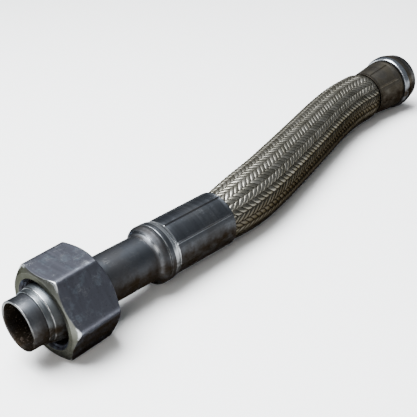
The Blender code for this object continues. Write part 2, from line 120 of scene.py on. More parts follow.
FAR_LIP = 2.4 * MM

# Flange head, stations from the far ferrule's mouth
FLANGE_R = 22.8 * MM
FLANGE_BACK_R = 21.3 * MM
FLANGE_FACE_R = 20.3 * MM
FLANGE_SHOULDER = 4.0 * MM
FLANGE_TAPER = 10.0 * MM
FLANGE_BACK = FAR_FERRULE_LENGTH + SEAT_GAP + 0.7 * MM
FLANGE_FACE = FLANGE_BACK + 17.2 * MM
FLANGE_NECK_R = 18.2 * MM
SEAL_SECTION_R = 1.76 * MM
SEAL_RING_R = 15.6 * MM
SEAL_GROOVE_DEPTH = 2.8 * MM

# Hose
HOSE_R = 20.0 * MM
HOSE_SPAN = 224.0 * MM
HOSE_SWAY = 37.5 * MM
HOSE_RISE = 2.2 * MM
LINER_BORE_R = 12.7 * MM
HOSE_END_GAP = 1.2 * MM
NEAR_SWELL = 45.0 * MM
FAR_SWELL = 10.0 * MM
FAR_TURN = math.radians(-3.0)
FAR_TILT = math.radians(1.5)
CRIMPED_HOSE_R = CRIMP_R - CRIMP_WALL - SEAT_GAP
NEAR_HOLD = NEAR_FERRULE_LENGTH - FERRULE_WALL - HOSE_END_GAP
FAR_HOLD = FAR_FERRULE_LENGTH - FERRULE_WALL - HOSE_END_GAP
ROUTE = [  # shares of the span, the sway and the rise
    (0.125, 0.056, 0.12), (0.250, 0.178, 0.04), (0.375, 0.350, 0.03), (0.500, 0.534, 0.03),
    (0.625, 0.723, 0.05), (0.750, 0.900, 0.22), (0.875, 1.000, 0.64), (1.000, 0.970, 1.00),
]
FINE_STEPS = 2000
CORE_STEPS = 240
CORE_SIDES = 96

# Braid: as many bands each way, each of a few flat-lying wires, passing over two and under two
BANDS = 24
WIRES = 5
BRAID_ANGLE = math.radians(50.0)  # of a band to the hose's line
BAND_FILL = 0.90  # share of its lane that a band fills
WIRE_RISE = 0.10 * MM
BAND_THICK = 0.38 * MM
BAND_LIFT = 0.36 * MM
BAND_CROWN = 0.30 * MM
BAND_HOLD = 1.3  # how long a band stays high or low before it changes over
WIRE_GROOVE = 0.45  # painted shade between two wires of a band
STEPS_A_FLOAT = 8

TURN = 192  # points round a turned piece
NUT_TURN = 360
FERRULE_TURN = 480
FILLET_STEPS = 5  # points on each rounded corner of a profile
# Painted shade, darker towards the bottom of each piece: its strength, then where it begins and where it
# is full
UNDERSIDE_SHADE = 0.92
SHADE_FROM = 0.60  # height of the outward normal below which the painted shade begins
SHADE_FULL = -0.05  # and where it is full
BRAID_SHADE = 0.25  # by how much higher the painted shade begins on the braid
# Near-black colour of the painted shade and dirt
SHADE_DIRT_COLOUR = (0.012, 0.009, 0.006)
RUST_COLOUR = (0.075, 0.060, 0.050)
GRAZING_TINT = (0.22, 0.22, 0.22)  # keeps steel dark where it would mirror the pale floor
MARK_DEPTH = 0.03 * MM

NUT_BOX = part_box("union_nut")
SHIFT = np.array([NUT_BOX[0][0] - NUT_START, (NUT_BOX[0][1] + NUT_BOX[1][1]) / 2, 0.0])


# Places


def near_point(station):
    """World place of a station on the tube's axis, which slopes down through the nut's back bore."""
    along = station - NUT_PIVOT
    place = [
        NUT_PIVOT + along * math.cos(TUBE_SLOPE),
        0.0,
        NUT_HALF_FLATS - along * math.sin(TUBE_SLOPE),
    ]
    return np.array(place) + SHIFT


def route_point(place):
    """World place of the hose's middle, from shares of its span, sway and rise."""
    along, across, lift = place
    start = near_point(MOUTH)[0]
    return np.array(
        [start + along * HOSE_SPAN, SHIFT[1] + across * HOSE_SWAY, HOSE_R + lift * HOSE_RISE]
    )


def unit(vector):
    """The vector over its length."""
    return vector / np.linalg.norm(vector)


def axis_frame(origin, along):
    """Origin, axis, side and up of a straight fitting. Side lies level."""
    side = unit(np.cross([0.0, 0.0, 1.0], along))
    return origin, along, side, np.cross(along, side)


def distances(path):
    """Length along a path up to each of its points."""
    return np.concatenate([[0.0], np.cumsum(np.linalg.norm(np.diff(path, axis=0), axis=1))])


def smooth_curve(points, start, end):
    """Cubic Hermite curve through the points, with the neighbours' chord as its slope at each and the
    given unit vectors as its slopes at both ends."""
    chord = distances(points)
    slope = np.gradient(points, chord, axis=0)
    slope[0], slope[-1] = start, end
    fine = np.linspace(0.0, chord[-1], FINE_STEPS)
    i = np.clip(np.searchsorted(chord, fine, "right") - 1, 0, len(chord) - 2)
    step = (chord[i + 1] - chord[i])[:, None]
    t = (fine - chord[i])[:, None] / step
    return (
        (2 * t**3 - 3 * t**2 + 1) * points[i]
        + (t**3 - 2 * t**2 + t) * step * slope[i]
        + (3 * t**2 - 2 * t**3) * points[i + 1]
        + (t**3 - t**2) * step * slope[i + 1]
    )


def hose_line():
    """The hose's middle line: straight in each ferrule and one smooth curve between."""
    mouth = near_point(MOUTH)
    free = np.array([mouth] + [route_point(place) for place in ROUTE])
    inward = mouth - near_point(MOUTH - NEAR_HOLD)
    curve = smooth_curve(free, inward / NEAR_HOLD, FAR_AXIS[1])
    return np.concatenate([[mouth - inward], curve, [curve[-1] + FAR_AXIS[1] * FAR_HOLD]])


def along_hose(length):
    """Middle, side and up of the hose at each length along it, by interpolating its fine line."""
    tangent = np.gradient(LINE, LINE_LENGTH, axis=0)
    middle = np.stack([np.interp(length, LINE_LENGTH, LINE[:, k]) for k in range(3)], -1)
    forward = np.stack([np.interp(length, LINE_LENGTH, tangent[:, k]) for k in range(3)], -1)
    forward /= np.linalg.norm(forward, axis=-1, keepdims=True)
    side = np.cross([0.0, 0.0, 1.0], forward)
    side /= np.linalg.norm(side, axis=-1, keepdims=True)
    return middle, side, np.cross(forward, side)


def hose_radius(length):
    """Outer radius of the braid: crimped inside each ferrule, swelling to its free size."""
    near = (length - NEAR_HOLD + MOUTH_LENGTH) / (NEAR_SWELL + MOUTH_LENGTH)
    far = (LINE_LENGTH[-1] - FAR_HOLD - length + MOUTH_LENGTH) / (FAR_SWELL + MOUTH_LENGTH)
    ramp = np.clip(np.minimum(near, far), 0.0, 1.0)
    return CRIMPED_HOSE_R + (HOSE_R - CRIMPED_HOSE_R) * (1 - (1 - ramp) ** 2)


NEAR_AXIS = axis_frame(near_point(0.0), unit(near_point(MOUTH) - near_point(0.0)))
NUT_AXIS = axis_frame(
    SHIFT + np.array([NUT_START, 0.0, NUT_HALF_FLATS]), np.array([1.0, 0.0, 0.0])
)
FAR_WAY = [math.cos(FAR_TILT) * math.cos(FAR_TURN), math.cos(FAR_TILT) * math.sin(FAR_TURN)]
FAR_AXIS = axis_frame(route_point(ROUTE[-1]), np.array([*FAR_WAY, math.sin(FAR_TILT)]))
LINE = hose_line()
LINE_LENGTH = distances(LINE)


# Camera

PHOTO_SIDE = 417
FOCAL_PIXELS = 764.1
CAMERA_PLACE = np.array([-0.1456, -0.3051, 0.2479 + NUT_HALF_FLATS]) + SHIFT
CAMERA_TURN = math.radians(-43.69)
CAMERA_RISE = math.radians(29.95)
CAMERA_ROLL = math.radians(-5.24)


def make_camera():
    """Camera whose back vector is (sin t cos r, -cos t cos r, sin r), rolled about it."""
    t, r, roll = CAMERA_TURN, CAMERA_RISE, CAMERA_ROLL
    back = Vector((math.sin(t) * math.cos(r), -math.cos(t) * math.cos(r), math.sin(r)))
    right = Vector((math.cos(t), math.sin(t), 0.0))
    up = back.cross(right)
    rolled_right = right * math.cos(roll) + up * math.sin(roll)
    rolled_up = up * math.cos(roll) - right * math.sin(roll)
    data = bpy.data.cameras.new("photo_camera")
    data.sensor_width = 36.0
    data.lens = FOCAL_PIXELS / PHOTO_SIDE * data.sensor_width
    data.clip_start, data.clip_end = 0.01, 20.0
    camera = bpy.data.objects.new("photo_camera", data)
    bpy.context.scene.collection.objects.link(camera)
    turn = Matrix((rolled_right, rolled_up, back)).transposed().to_4x4()
    camera.matrix_world = Matrix.Translation(CAMERA_PLACE) @ turn
    bpy.context.scene.camera = camera


make_camera()


# Meshes


def grid_object(name, points, finish, attributes=None, sharp=35.0):
    """One closed surface from points[row, column, 3] that joins up both ways. Its faces are turned out
    by the sign of its volume, the sum of each face's triple product."""
    rows, columns = points.shape[:2]
    row, column = np.meshgrid(np.arange(rows), np.arange(columns), indexing="ij")
    right, below = (column + 1) % columns, (row + 1) % rows
    here, under = row * columns, below * columns
    quads = np.stack([here + column, here + right, under + right, under + column], -1).reshape(-1, 4)
    flat = points.reshape(-1, 3)
    centred = flat - flat.mean(0)
    a, b, c, d = (centred[quads[:, k]] for k in range(4))
    volume = (np.cross(a, b) * c).sum() + (np.cross(a, c) * d).sum()
    if volume < 0:
        quads = quads[:, ::-1]
    return mesh_object(name, flat, quads, finish, attributes, sharp)


def mesh_object(name, flat, quads, finish, attributes, sharp):
    """A mesh of quads with smooth faces, one material and float or vector attributes on its points."""
    mesh = bpy.data.meshes.new(name)
    mesh.vertices.add(len(flat))
    mesh.vertices.foreach_set("co", np.ascontiguousarray(flat, np.float32).ravel())
    mesh.loops.add(quads.size)
    mesh.loops.foreach_set("vertex_index", np.ascontiguousarray(quads, np.int32).ravel())
    mesh.polygons.add(len(quads))
    mesh.polygons.foreach_set("loop_start", np.arange(0, quads.size, 4, dtype=np.int32))
    mesh.update(calc_edges=True)
    for key, values in (attributes or {}).items():
        values = np.ascontiguousarray(values, np.float32)
        vector = values.shape[-1] == 3 and values.size == 3 * len(flat)
        made = mesh.attributes.new(key, "FLOAT_VECTOR" if vector else "FLOAT", "POINT")
        made.data.foreach_set("vector" if vector else "value", values.ravel())
    mesh.shade_smooth()
    mesh.set_sharp_from_angle(angle=math.radians(sharp))
    mesh.materials.append(finish)
    made = bpy.data.objects.new(name, mesh)
    bpy.context.scene.collection.objects.link(made)
    return made


def rounded(corners):
    """Profile through (station, radius, fillet) corners of a closed outline. Each corner becomes a
    quadratic curve that starts and ends a fillet's length from it, with one more point just outside."""
    place = np.array([corner[:2] for corner in corners])
    fillet = np.array([corner[2] for corner in corners])
    before = np.roll(place, 1, 0) - place
    after = np.roll(place, -1, 0) - place
    limit = 0.45 * np.minimum(np.linalg.norm(before, axis=1), np.linalg.norm(after, axis=1))
    reach = np.minimum(fillet, limit)[:, None]
    start = place + before / np.linalg.norm(before, axis=1)[:, None] * reach
    end = place + after / np.linalg.norm(after, axis=1)[:, None] * reach
    t = np.linspace(0.0, 1.0, FILLET_STEPS)[None, :, None]
    curve = (1 - t) ** 2 * start[:, None] + 2 * t * (1 - t) * place[:, None] + t**2 * end[:, None]
    lead = start[:, None] + 0.25 * (start - place)[:, None]
    trail = end[:, None] + 0.25 * (end - place)[:, None]
    return np.concatenate([lead, curve, trail], 1).reshape(-1, 2)


def corner_values(corners, index, whole):
    """The extra value that each corner carries at an index, spread over its points of the rounded
    profile: over all of them, or over its curve only. A corner without one has 0."""
    value = np.array([corner[index] if len(corner) > index else 0.0 for corner in corners])
    spread = np.repeat(value[:, None], FILLET_STEPS + 2, 1)
    if not whole:
        spread[:, [0, -1]] = 0.0
    return spread.ravel()


def swept(axis, station, radius, angle):
    """Points origin + station * axis + radius * (cos a side + sin a up), and the same in millimetres on
    the fitting's own axes, for patterns that follow it."""
    origin, along, side, up = axis
    station, radius, angle = np.broadcast_arrays(station, radius, angle)
    across, rise = radius * np.cos(angle), radius * np.sin(angle)
    world = origin + station[..., None] * along + across[..., None] * side + rise[..., None] * up
    own = np.stack([station, across, rise], -1) / MM
    return world, own


def wear_attributes(corners, own, angle):
    """Attributes of a profile's grid: its own place, how rubbed it is, its bare share, which also paints
    highlights, and its share of painted shade and dirt. These shares are the corners' fourth to sixth
    values, and the painted shade also grows to the underside."""
    like = np.zeros(own.shape[:2])
    rubbed = corner_values(corners, 3, False)[:, None] + like
    bare_and_highlight = corner_values(corners, 4, True)[:, None] + like
    dirt = np.maximum(corner_values(corners, 5, True)[:, None] + like, underside(np.sin(angle)))
    own = own.reshape(-1, 3)
    return {"own": own, "edge": rubbed.ravel(), "bare_and_highlight": bare_and_highlight.ravel(), "dirt": dirt.ravel()}


def underside(rise):
    """Painted shade share of a surface by the height of its outward normal: none on top, full below."""
    return np.clip((SHADE_FROM - rise) / (SHADE_FROM - SHADE_FULL), 0.0, 1.0) * UNDERSIDE_SHADE


def turned(name, axis, corners, finish):
    """A turned piece: the rounded outline of (station, radius, fillet, rubbed, bare and painted
    highlight, painted shade and dirt) corners swept round the axis."""
    profile = rounded(corners)
    angle = (np.arange(TURN) * math.tau / TURN)[None]
    world, own = swept(axis, profile[:, :1], profile[:, 1:], angle)
    return grid_object(name, world, finish, wear_attributes(corners, own, angle))


# Node groups and materials


def new_group(name, inputs, outputs):
    """An empty shader group with named sockets, (name, kind, default) for inputs, and its helper."""
    group = bpy.data.node_groups.new(name, "ShaderNodeTree")
    for title, kind, default in inputs:
        socket = group.interface.new_socket(title, in_out="INPUT", socket_type="NodeSocket" + kind)
        if default is not None:
            socket.default_value = default
    for title, kind in outputs:
        group.interface.new_socket(title, in_out="OUTPUT", socket_type="NodeSocket" + kind)
    w = Wires(group)
    w.source, w.sink = group.nodes.new("NodeGroupInput"), group.nodes.new("NodeGroupOutput")
    return group, w


class Wires:
    """Adds nodes to a tree, with inputs given as values or as other nodes' sockets."""

    def __init__(self, tree):
        self.tree = tree

    def set(self, node, **values):
        """Sets or links inputs by name, or by number where the key is an i and digits."""
        for key, value in values.items():
            by_number = key[0] == "i" and key[1:].isdigit()
            socket = node.inputs[int(key[1:]) if by_number else key]
            if isinstance(value, bpy.types.NodeSocket):
                self.tree.links.new(value, socket)
            else:
                socket.default_value = value
        return node

    def math(self, operation, a, b=0.0, clamp=False):
        """The result of one operation on two numbers."""
        node = self.tree.nodes.new("ShaderNodeMath")
        node.operation, node.use_clamp = operation, clamp
        return self.set(node, i0=a, i1=b).outputs[0]

    def scaled(self, vector, scale):
        """A vector times another, axis by axis."""
        node = self.tree.nodes.new("ShaderNodeVectorMath")
        node.operation = "MULTIPLY"
        return self.set(node, i0=vector, i1=scale).outputs[0]

    def noise(self, vector, scale, detail=3.0, roughness=0.55):
        """Fractal noise around 0.5."""
        node = self.tree.nodes.new("ShaderNodeTexNoise")
        self.set(node, Vector=vector, Scale=scale, Detail=detail, Roughness=roughness)
        return node.outputs["Fac"]

    def band(self, value, low, high, bottom=0.0, top=1.0):
        """Value mapped smoothly from low..high to bottom..top and held outside."""
        node = self.tree.nodes.new("ShaderNodeMapRange")
        node.interpolation_type = "SMOOTHSTEP"
        return self.set(node, i0=value, i1=low, i2=high, i3=bottom, i4=top).outputs[0]

    def mix(self, factor, a, b):
        """Colour a where the factor is 0 and colour b where it is 1."""
        node = self.tree.nodes.new("ShaderNodeMix")
        node.data_type = "RGBA"
        return self.set(node, i0=factor, i6=a, i7=b).outputs[2]

    def attribute(self, name, vector=False):
        """An attribute of the mesh, as a number or a vector."""
        node = self.tree.nodes.new("ShaderNodeAttribute")
        node.attribute_name = name
        return node.outputs["Vector" if vector else "Fac"]

    def group(self, group, **values):
        """One use of a node group, its inputs given with underscores for the spaces."""
        node = self.tree.nodes.new("ShaderNodeGroup")
        node.node_tree = group
        return self.set(node, **{key.replace("_", " "): value for key, value in values.items()})

    def bump(self, height, distance):
        """The normal tilted by the slope of a height, where a height of 1 is the distance."""
        node = self.tree.nodes.new("ShaderNodeBump")
        return self.set(node, Height=height, Distance=distance).outputs[0]


def mottle_group():
    """Plate that has aged in patches: broad noise picks stain over clean metal, a finer one adds dark
    specks, and both raise the roughness."""
    group, w = new_group(
        "Mottled plate",
        [
            ("Place", "Vector", None),
            ("Clean", "Color", (0.3, 0.3, 0.3, 1)), ("Stain", "Color", (0.2, 0.2, 0.2, 1)),
            ("Speck", "Color", (0.05, 0.05, 0.05, 1)), ("Patch size", "Float", 0.1),
            ("Stain share", "Float", 0.5), ("Speck share", "Float", 0.3), ("Roughness", "Float", 0.4),
        ],
        [("Colour", "Color"), ("Roughness", "Float")],
    )
    g = w.source.outputs
    patch = w.noise(g["Place"], g["Patch size"], 5.0, 0.6)
    cut = w.math("SUBTRACT", 0.72, w.math("MULTIPLY", g["Stain share"], 0.4))
    stain = w.band(patch, w.math("SUBTRACT", cut, 0.1), w.math("ADD", cut, 0.1))
    fine = w.noise(g["Place"], w.math("MULTIPLY", g["Patch size"], 6.3), 4.0, 0.65)
    speck_cut = w.math("SUBTRACT", 0.78, w.math("MULTIPLY", g["Speck share"], 0.35))
    speck = w.band(fine, speck_cut, w.math("ADD", speck_cut, 0.09))
    tint = w.mix(stain, g["Clean"], g["Stain"])
    tint = w.mix(w.math("MULTIPLY", speck, 0.8), tint, g["Speck"])
    rough = w.math("ADD", g["Roughness"], w.math("MULTIPLY", stain, 0.1))
    rough = w.math("ADD", rough, w.math("MULTIPLY", speck, 0.16), clamp=True)
    w.set(w.sink, Colour=tint, Roughness=rough)
    return group


def lathe_group():
    """Turning marks: noise stretched round the axis, so that it changes along it only, as a height and
    as a small swing of the roughness."""
    group, w = new_group(
        "Turning marks",
        [("Place", "Vector", None), ("Marks a mm", "Float", 4.0), ("Depth", "Float", 1.0)],
        [("Height", "Float"), ("Swing", "Float")],
    )
    g = w.source.outputs
    stretched = w.scaled(g["Place"], (1.0, 0.015, 0.015))
    fine = w.noise(stretched, g["Marks a mm"], 2.0, 0.6)
    coarse = w.noise(stretched, w.math("MULTIPLY", g["Marks a mm"], 0.21), 2.0, 0.5)
    both = w.math("ADD", w.math("MULTIPLY", fine, 0.6), w.math("MULTIPLY", coarse, 0.4))
    swing = w.math("MULTIPLY", w.math("SUBTRACT", both, 0.5), 0.35)
    w.set(w.sink, Height=w.math("MULTIPLY", both, g["Depth"]), Swing=swing)
    return group


def scuff_group():
    """Handling scuffs: thin bent scratches from two stretched noises, where they pass a level."""
    group, w = new_group(
        "Scuffs",
        [("Place", "Vector", None), ("Size", "Float", 0.3), ("Share", "Float", 0.3)],
        [("Mask", "Float"), ("Height", "Float")],
    )
    g = w.source.outputs
    first = w.noise(w.scaled(g["Place"], (0.25, 1.0, 1.7)), g["Size"], 6.0, 0.72)
    finer = w.math("MULTIPLY", g["Size"], 1.7)
    second = w.noise(w.scaled(g["Place"], (1.6, 0.3, 0.9)), finer, 6.0, 0.72)
    off = [w.math("ABSOLUTE", w.math("SUBTRACT", noise, 0.5)) for noise in (first, second)]
    width = w.math("MULTIPLY", g["Share"], 0.03)
    mask = w.math("SUBTRACT", 1.0, w.band(w.math("MINIMUM", *off), 0.0, width))
    broken = w.band(w.noise(g["Place"], w.math("MULTIPLY", g["Size"], 0.9), 3.0), 0.5, 0.62)
    mask = w.math("MULTIPLY", mask, broken)
    w.set(w.sink, Mask=mask, Height=w.math("MULTIPLY", mask, -1.0))
    return group


def rubbed_group():
    """Rubbed edges: the corner mask of the mesh, broken up by noise. At the nut's front corners it is
    also a painted highlight.
    """
    group, w = new_group(
        "Rubbed edges",
        [("Place", "Vector", None), ("Edge", "Float", 0.0), ("Break", "Float", 0.4)],
        [("Mask", "Float")],
    )
    g = w.source.outputs
    wander = w.noise(g["Place"], 0.45, 3.0, 0.6)
    level = w.math("ADD", g["Edge"], w.math("MULTIPLY", w.math("SUBTRACT", wander, 0.5), g["Break"]))
    w.set(w.sink, Mask=w.band(level, 0.35, 0.8))
    return group


def shade_grime_group():
    """Painted shade and dirt: the mesh's shade share, thinned and thickened by noise of two sizes."""
    group, w = new_group(
        "Painted shade and grime",
        [("Place", "Vector", None), ("Dirt", "Float", 0.0)],
        [("Mask", "Float")],
    )
    g = w.source.outputs
    broad = w.math("SUBTRACT", w.noise(g["Place"], 0.16, 4.0, 0.6), 0.5)
    speck = w.math("SUBTRACT", w.noise(g["Place"], 1.1, 3.0, 0.6), 0.5)
    swing = w.math("ADD", w.math("MULTIPLY", broad, 0.8), w.math("MULTIPLY", speck, 0.4))
    swing = w.math("MULTIPLY", swing, w.math("MINIMUM", w.math("MULTIPLY", g["Dirt"], 2.0), 1.0))
    w.set(w.sink, Mask=w.math("ADD", g["Dirt"], swing, clamp=True))
    return group


MOTTLE = mottle_group()
LATHE = lathe_group()
SCUFFS = scuff_group()
RUBBED = rubbed_group()
SHADE_GRIME = shade_grime_group()


def new_material(name):
    """A material with a Principled shader, and the helper that adds nodes to it."""
    made = bpy.data.materials.new(name)
    made.use_nodes = True
    return made, Wires(made.node_tree), made.node_tree.nodes["Principled BSDF"]


def rgba(colour):
    """A colour with full opacity."""
    return (*colour, 1.0)


def plated_steel(
    name, clean, stain, speck, roughness, patch, stain_share, speck_share, marks, mark_depth,
    scuff_share, rub, rub_strength, bare_and_highlight, bare_rough,
):
    """Aged plated steel: mottled colour, turning marks, scuffs and rubbed bright corners. It is bare
    where it was cut after plating, brightened with painted highlights where its bare share is set,
    darkened with painted shade in its bore, between parts and below, broken up like dirt, and flaked
    with rust where that shade is fullest."""
    made, w, shader = new_material(name)
    own = w.attribute("own", vector=True)
    base = w.group(
        MOTTLE, Place=own, Clean=rgba(clean), Stain=rgba(stain), Speck=rgba(speck),
        Patch_size=patch, Stain_share=stain_share, Speck_share=speck_share, Roughness=roughness,
    )
    lathe = w.group(LATHE, Place=own, Marks_a_mm=marks, Depth=mark_depth)
    scuffs = w.group(SCUFFS, Place=own, Size=0.16, Share=scuff_share)
    rubbed = w.group(RUBBED, Place=own, Edge=w.attribute("edge"), Break=0.9)
    scratched = w.math("MULTIPLY", scuffs.outputs["Mask"], 0.3)
    bright = w.math("MAXIMUM", rubbed.outputs["Mask"], scratched)
    bright = w.math("MULTIPLY", bright, rub_strength)
    # Bare metal where it was cut, and painted highlight bands where an outline sets a bare share
    cut = w.attribute("bare_and_highlight")
    tint = w.mix(cut, base.outputs["Colour"], rgba(bare_and_highlight))
    tint = w.mix(bright, tint, rgba(rub))
    kept = w.math("MULTIPLY", w.math("SUBTRACT", 1.0, cut), base.outputs["Roughness"])
    rough = w.math("ADD", w.math("MULTIPLY", cut, bare_rough), kept)
    rough = w.math("ADD", rough, lathe.outputs["Swing"])
    rough = w.math("SUBTRACT", rough, w.math("MULTIPLY", bright, 0.12), clamp=True)
    # Painted shade in bores, between parts and below, broken up like dirt, with rust flakes where it is
    # fullest
    dirt = w.attribute("dirt")
    shade_grime = w.group(SHADE_GRIME, Place=own, Dirt=dirt)
    thick = w.band(dirt, 0.93, 0.99)
    flakes = w.math("MULTIPLY", w.band(w.noise(own, 0.85, 3.0, 0.6), 0.56, 0.66), thick)
    shade_and_rust = w.mix(flakes, rgba(SHADE_DIRT_COLOUR), rgba(RUST_COLOUR))
    tint = w.mix(shade_grime.outputs["Mask"], tint, shade_and_rust)
    rough = w.math("ADD", rough, w.math("MULTIPLY", shade_grime.outputs["Mask"], 0.2), clamp=True)
    scratch = w.math("MULTIPLY", scuffs.outputs["Height"], 0.4)
    height = w.math("ADD", lathe.outputs["Height"], scratch)
    w.set(shader, **{"Base Color": tint, "Roughness": rough, "Metallic": 1.0})
    w.set(shader, **{"Specular Tint": rgba(GRAZING_TINT), "Normal": w.bump(height, MARK_DEPTH)})
    return made


def braid_wire():
    """Stainless wire: each band has its own slight tone. Painted shade darkens the wires in the grooves
    between them, at a band's edges, where a band dives under the next and towards the hose's underside."""
    made, w, shader = new_material("braid_wire")
    own = w.attribute("own", vector=True)
    dull = w.noise(own, 0.05, 4.0, 0.6)
    clean = w.mix(w.attribute("tone"), rgba((0.29, 0.28, 0.235)), rgba((0.49, 0.475, 0.42)))
    clean = w.mix(w.band(dull, 0.42, 0.70, 0.0, 0.35), clean, rgba((0.11, 0.098, 0.068)))
    # Painted shade in the grooves between wires, at a band's edges and where a band dives under the next
    deep = w.band(w.attribute("depth"), 0.1, 0.75)
    shade_grime = w.math("ADD", w.math("MULTIPLY", w.attribute("groove"), 0.8), deep, clamp=True)
    # Painted shade, darker towards the hose's underside
    shaded_below = w.mix(w.attribute("dirt"), clean, rgba((0.025, 0.021, 0.014)))
    tint = w.mix(shade_grime, shaded_below, rgba(SHADE_DIRT_COLOUR))
    rough = w.math("ADD", 0.25, w.math("MULTIPLY", shade_grime, 0.35))
    sheen = rgba((0.20, 0.19, 0.17))
    w.set(shader, **{"Base Color": tint, "Roughness": rough, "Metallic": 1.0, "Specular Tint": sheen})
    return made


def plain_material(name, colour, roughness, gloss=0.5):
    """One even colour, for what hardly shows."""
    made, w, shader = new_material(name)
    w.set(shader, **{"Base Color": rgba(colour), "Roughness": roughness, "Specular IOR Level": gloss})
    return made


# Its rub colour also paints the highlight at the nut's front corners
STEEL_NUT = plated_steel(
    "nut_plate", clean=(0.115, 0.130, 0.155), stain=(0.056, 0.058, 0.070),
    speck=(0.022, 0.021, 0.020), roughness=0.36, patch=0.17, stain_share=0.85, speck_share=0.52,
    marks=3.0, mark_depth=0.15, scuff_share=0.2, rub=(0.50, 0.52, 0.53), rub_strength=0.75,
    bare_and_highlight=(0.082, 0.084, 0.072), bare_rough=0.40,
)
# Its bare colour serves the cut lip and also the painted highlight round the collar
STEEL_TUBE = plated_steel(
    "tube_plate", clean=(0.045, 0.049, 0.056), stain=(0.036, 0.037, 0.040),
    speck=(0.022, 0.019, 0.016), roughness=0.44, patch=0.05, stain_share=0.5, speck_share=0.15,
    marks=5.0, mark_depth=0.3, scuff_share=0.1, rub=(0.35, 0.35, 0.34), rub_strength=0.8,
    bare_and_highlight=(0.12, 0.127, 0.138), bare_rough=0.22,
)
STEEL_RING = plated_steel(
    "ring_plate", clean=(0.115, 0.128, 0.138), stain=(0.085, 0.092, 0.095),
    speck=(0.04, 0.035, 0.028), roughness=0.38, patch=0.09, stain_share=0.5, speck_share=0.2,
    marks=4.0, mark_depth=0.3, scuff_share=0.1, rub=(0.5, 0.5, 0.5), rub_strength=0.9,
    bare_and_highlight=(0.14, 0.15, 0.16), bare_rough=0.26,
)
# Its bright bare colour paints the highlight band at the start of the crimp
STEEL_CRIMP = plated_steel(
    "ferrule_plate", clean=(0.070, 0.076, 0.086), stain=(0.052, 0.055, 0.060),
    speck=(0.026, 0.024, 0.021), roughness=0.36, patch=0.05, stain_share=0.5, speck_share=0.15,
    marks=2.0, mark_depth=0.15, scuff_share=0.15, rub=(0.3, 0.31, 0.32), rub_strength=0.4,
    bare_and_highlight=(0.52, 0.54, 0.56), bare_rough=0.26,
)
STEEL_FAR = plated_steel(
    "far_ferrule_plate", clean=(0.105, 0.098, 0.086), stain=(0.070, 0.063, 0.050),
    speck=(0.03, 0.025, 0.018), roughness=0.38, patch=0.09, stain_share=0.6, speck_share=0.25,
    marks=2.0, mark_depth=0.15, scuff_share=0.15, rub=(0.4, 0.4, 0.38), rub_strength=0.3,
    bare_and_highlight=(0.34, 0.34, 0.34), bare_rough=0.24,
)
# Its bare colour paints the highlights round the back edge and on the taper
STEEL_FLANGE = plated_steel(
    "flange_steel", clean=(0.150, 0.135, 0.112), stain=(0.085, 0.070, 0.050),
    speck=(0.03, 0.025, 0.018), roughness=0.30, patch=0.08, stain_share=0.5, speck_share=0.2,
    marks=5.0, mark_depth=0.4, scuff_share=0.1, rub=(0.6, 0.6, 0.6), rub_strength=0.6,
    bare_and_highlight=(0.34, 0.365, 0.40), bare_rough=0.22,
)
WIRE = braid_wire()
RUBBER = plain_material("hose_rubber", (0.012, 0.011, 0.01), 0.65, 0.2)
SEAL_RUBBER = plain_material("seal_rubber", (0.006, 0.006, 0.007), 0.5, 0.15)


# Hose and braid


def hose_core():
    """The hose under the braid: a tube whose radius at each length is the braid's less its thickness."""
    length = np.linspace(0.0, LINE_LENGTH[-1], CORE_STEPS)
    angle = np.arange(CORE_SIDES) * math.tau / CORE_SIDES
    middle, side, up = along_hose(length)
    ring = side[:, None] * np.cos(angle)[:, None] + up[:, None] * np.sin(angle)[:, None]
    outer = (hose_radius(length) - 2 * BAND_LIFT - 2 * BAND_THICK)[:, None, None]
    outside = middle[:, None] + ring * outer
    inside = middle[:, None] + ring * LINER_BORE_R
    points = np.concatenate([outside, inside[::-1]])
    return grid_object("hose_core", points, RUBBER, sharp=40.0), middle


def band_height(angle, lane):
    """Height of a band over the middle of the braid: a flattened wave of two lanes' angle, held high
    where the band passes over two others and low where it passes under two."""
    wave = np.cos(math.pi * angle / lane - math.pi / 4)
    return np.tanh(BAND_HOLD * wave) / math.tanh(BAND_HOLD)


def band_section():
    """Cross-section of a band as (share of its half width, height, groove): a row of wire tops on a
    shallow crown, over a flat
    underside. Groove is painted shade: some between wires, full at the edges."""
    across = np.linspace(-1.0, 1.0, 2 * WIRES + 1)
    bumps = 1.0 - np.abs(np.cos(math.pi * WIRES * (across + 1) / 2))
    top = BAND_THICK / 2 - BAND_CROWN * np.abs(across) ** 2.4 + WIRE_RISE * (bumps - 1.0)
    groove = np.maximum(WIRE_GROOVE * (1.0 - bumps), np.abs(across) ** 7)
    under = np.array([0.9, 0.0, -0.9])
    return (
        np.concatenate([across, under]),
        np.concatenate([top, np.full(3, -BAND_THICK / 2 - BAND_CROWN)]),
        np.concatenate([groove, np.ones(3)]),
    )


def strip_quads(rows, columns):
    """Quads of a strip whose cross-section closes on itself, with a ladder of quads over each end."""
    row, column = np.meshgrid(np.arange(rows - 1), np.arange(columns), indexing="ij")
    a = row * columns + column
    b = row * columns + (column + 1) % columns
    sides = np.stack([a, b, b + columns, a + columns], -1).reshape(-1, 4)
    k = np.arange(columns // 2 - 1)
    start = np.stack([k + 1, k, columns - 1 - k, columns - 2 - k], -1)
    return np.concatenate([sides, start, start[:, ::-1] + (rows - 1) * columns])


